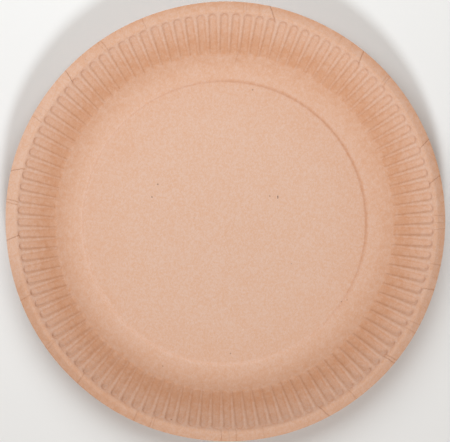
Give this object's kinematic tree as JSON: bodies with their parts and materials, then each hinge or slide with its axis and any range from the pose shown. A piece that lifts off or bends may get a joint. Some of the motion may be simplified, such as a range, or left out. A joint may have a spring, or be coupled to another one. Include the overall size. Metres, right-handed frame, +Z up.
{
  "type": "paper plate",
  "caption": "Round pressed board plate in plain kraft brown, with a raised middle panel and a fluted side wall under a smooth turned-down rim.",
  "frame": {"origin": "centre of the foot, on the plane that the plate stands on", "axes": "+Z up out of the well; +X along the middle of a flute, to the right of the picture; +Y to its top"},
  "size_m": [0.23, 0.23, 0.018],
  "materials": {
    "board": "uncoated kraft board, matt, with fine fibre mottling"
  },
  "bodies": {
    "root": {"plate": "board"}
  },
  "joints": []
}
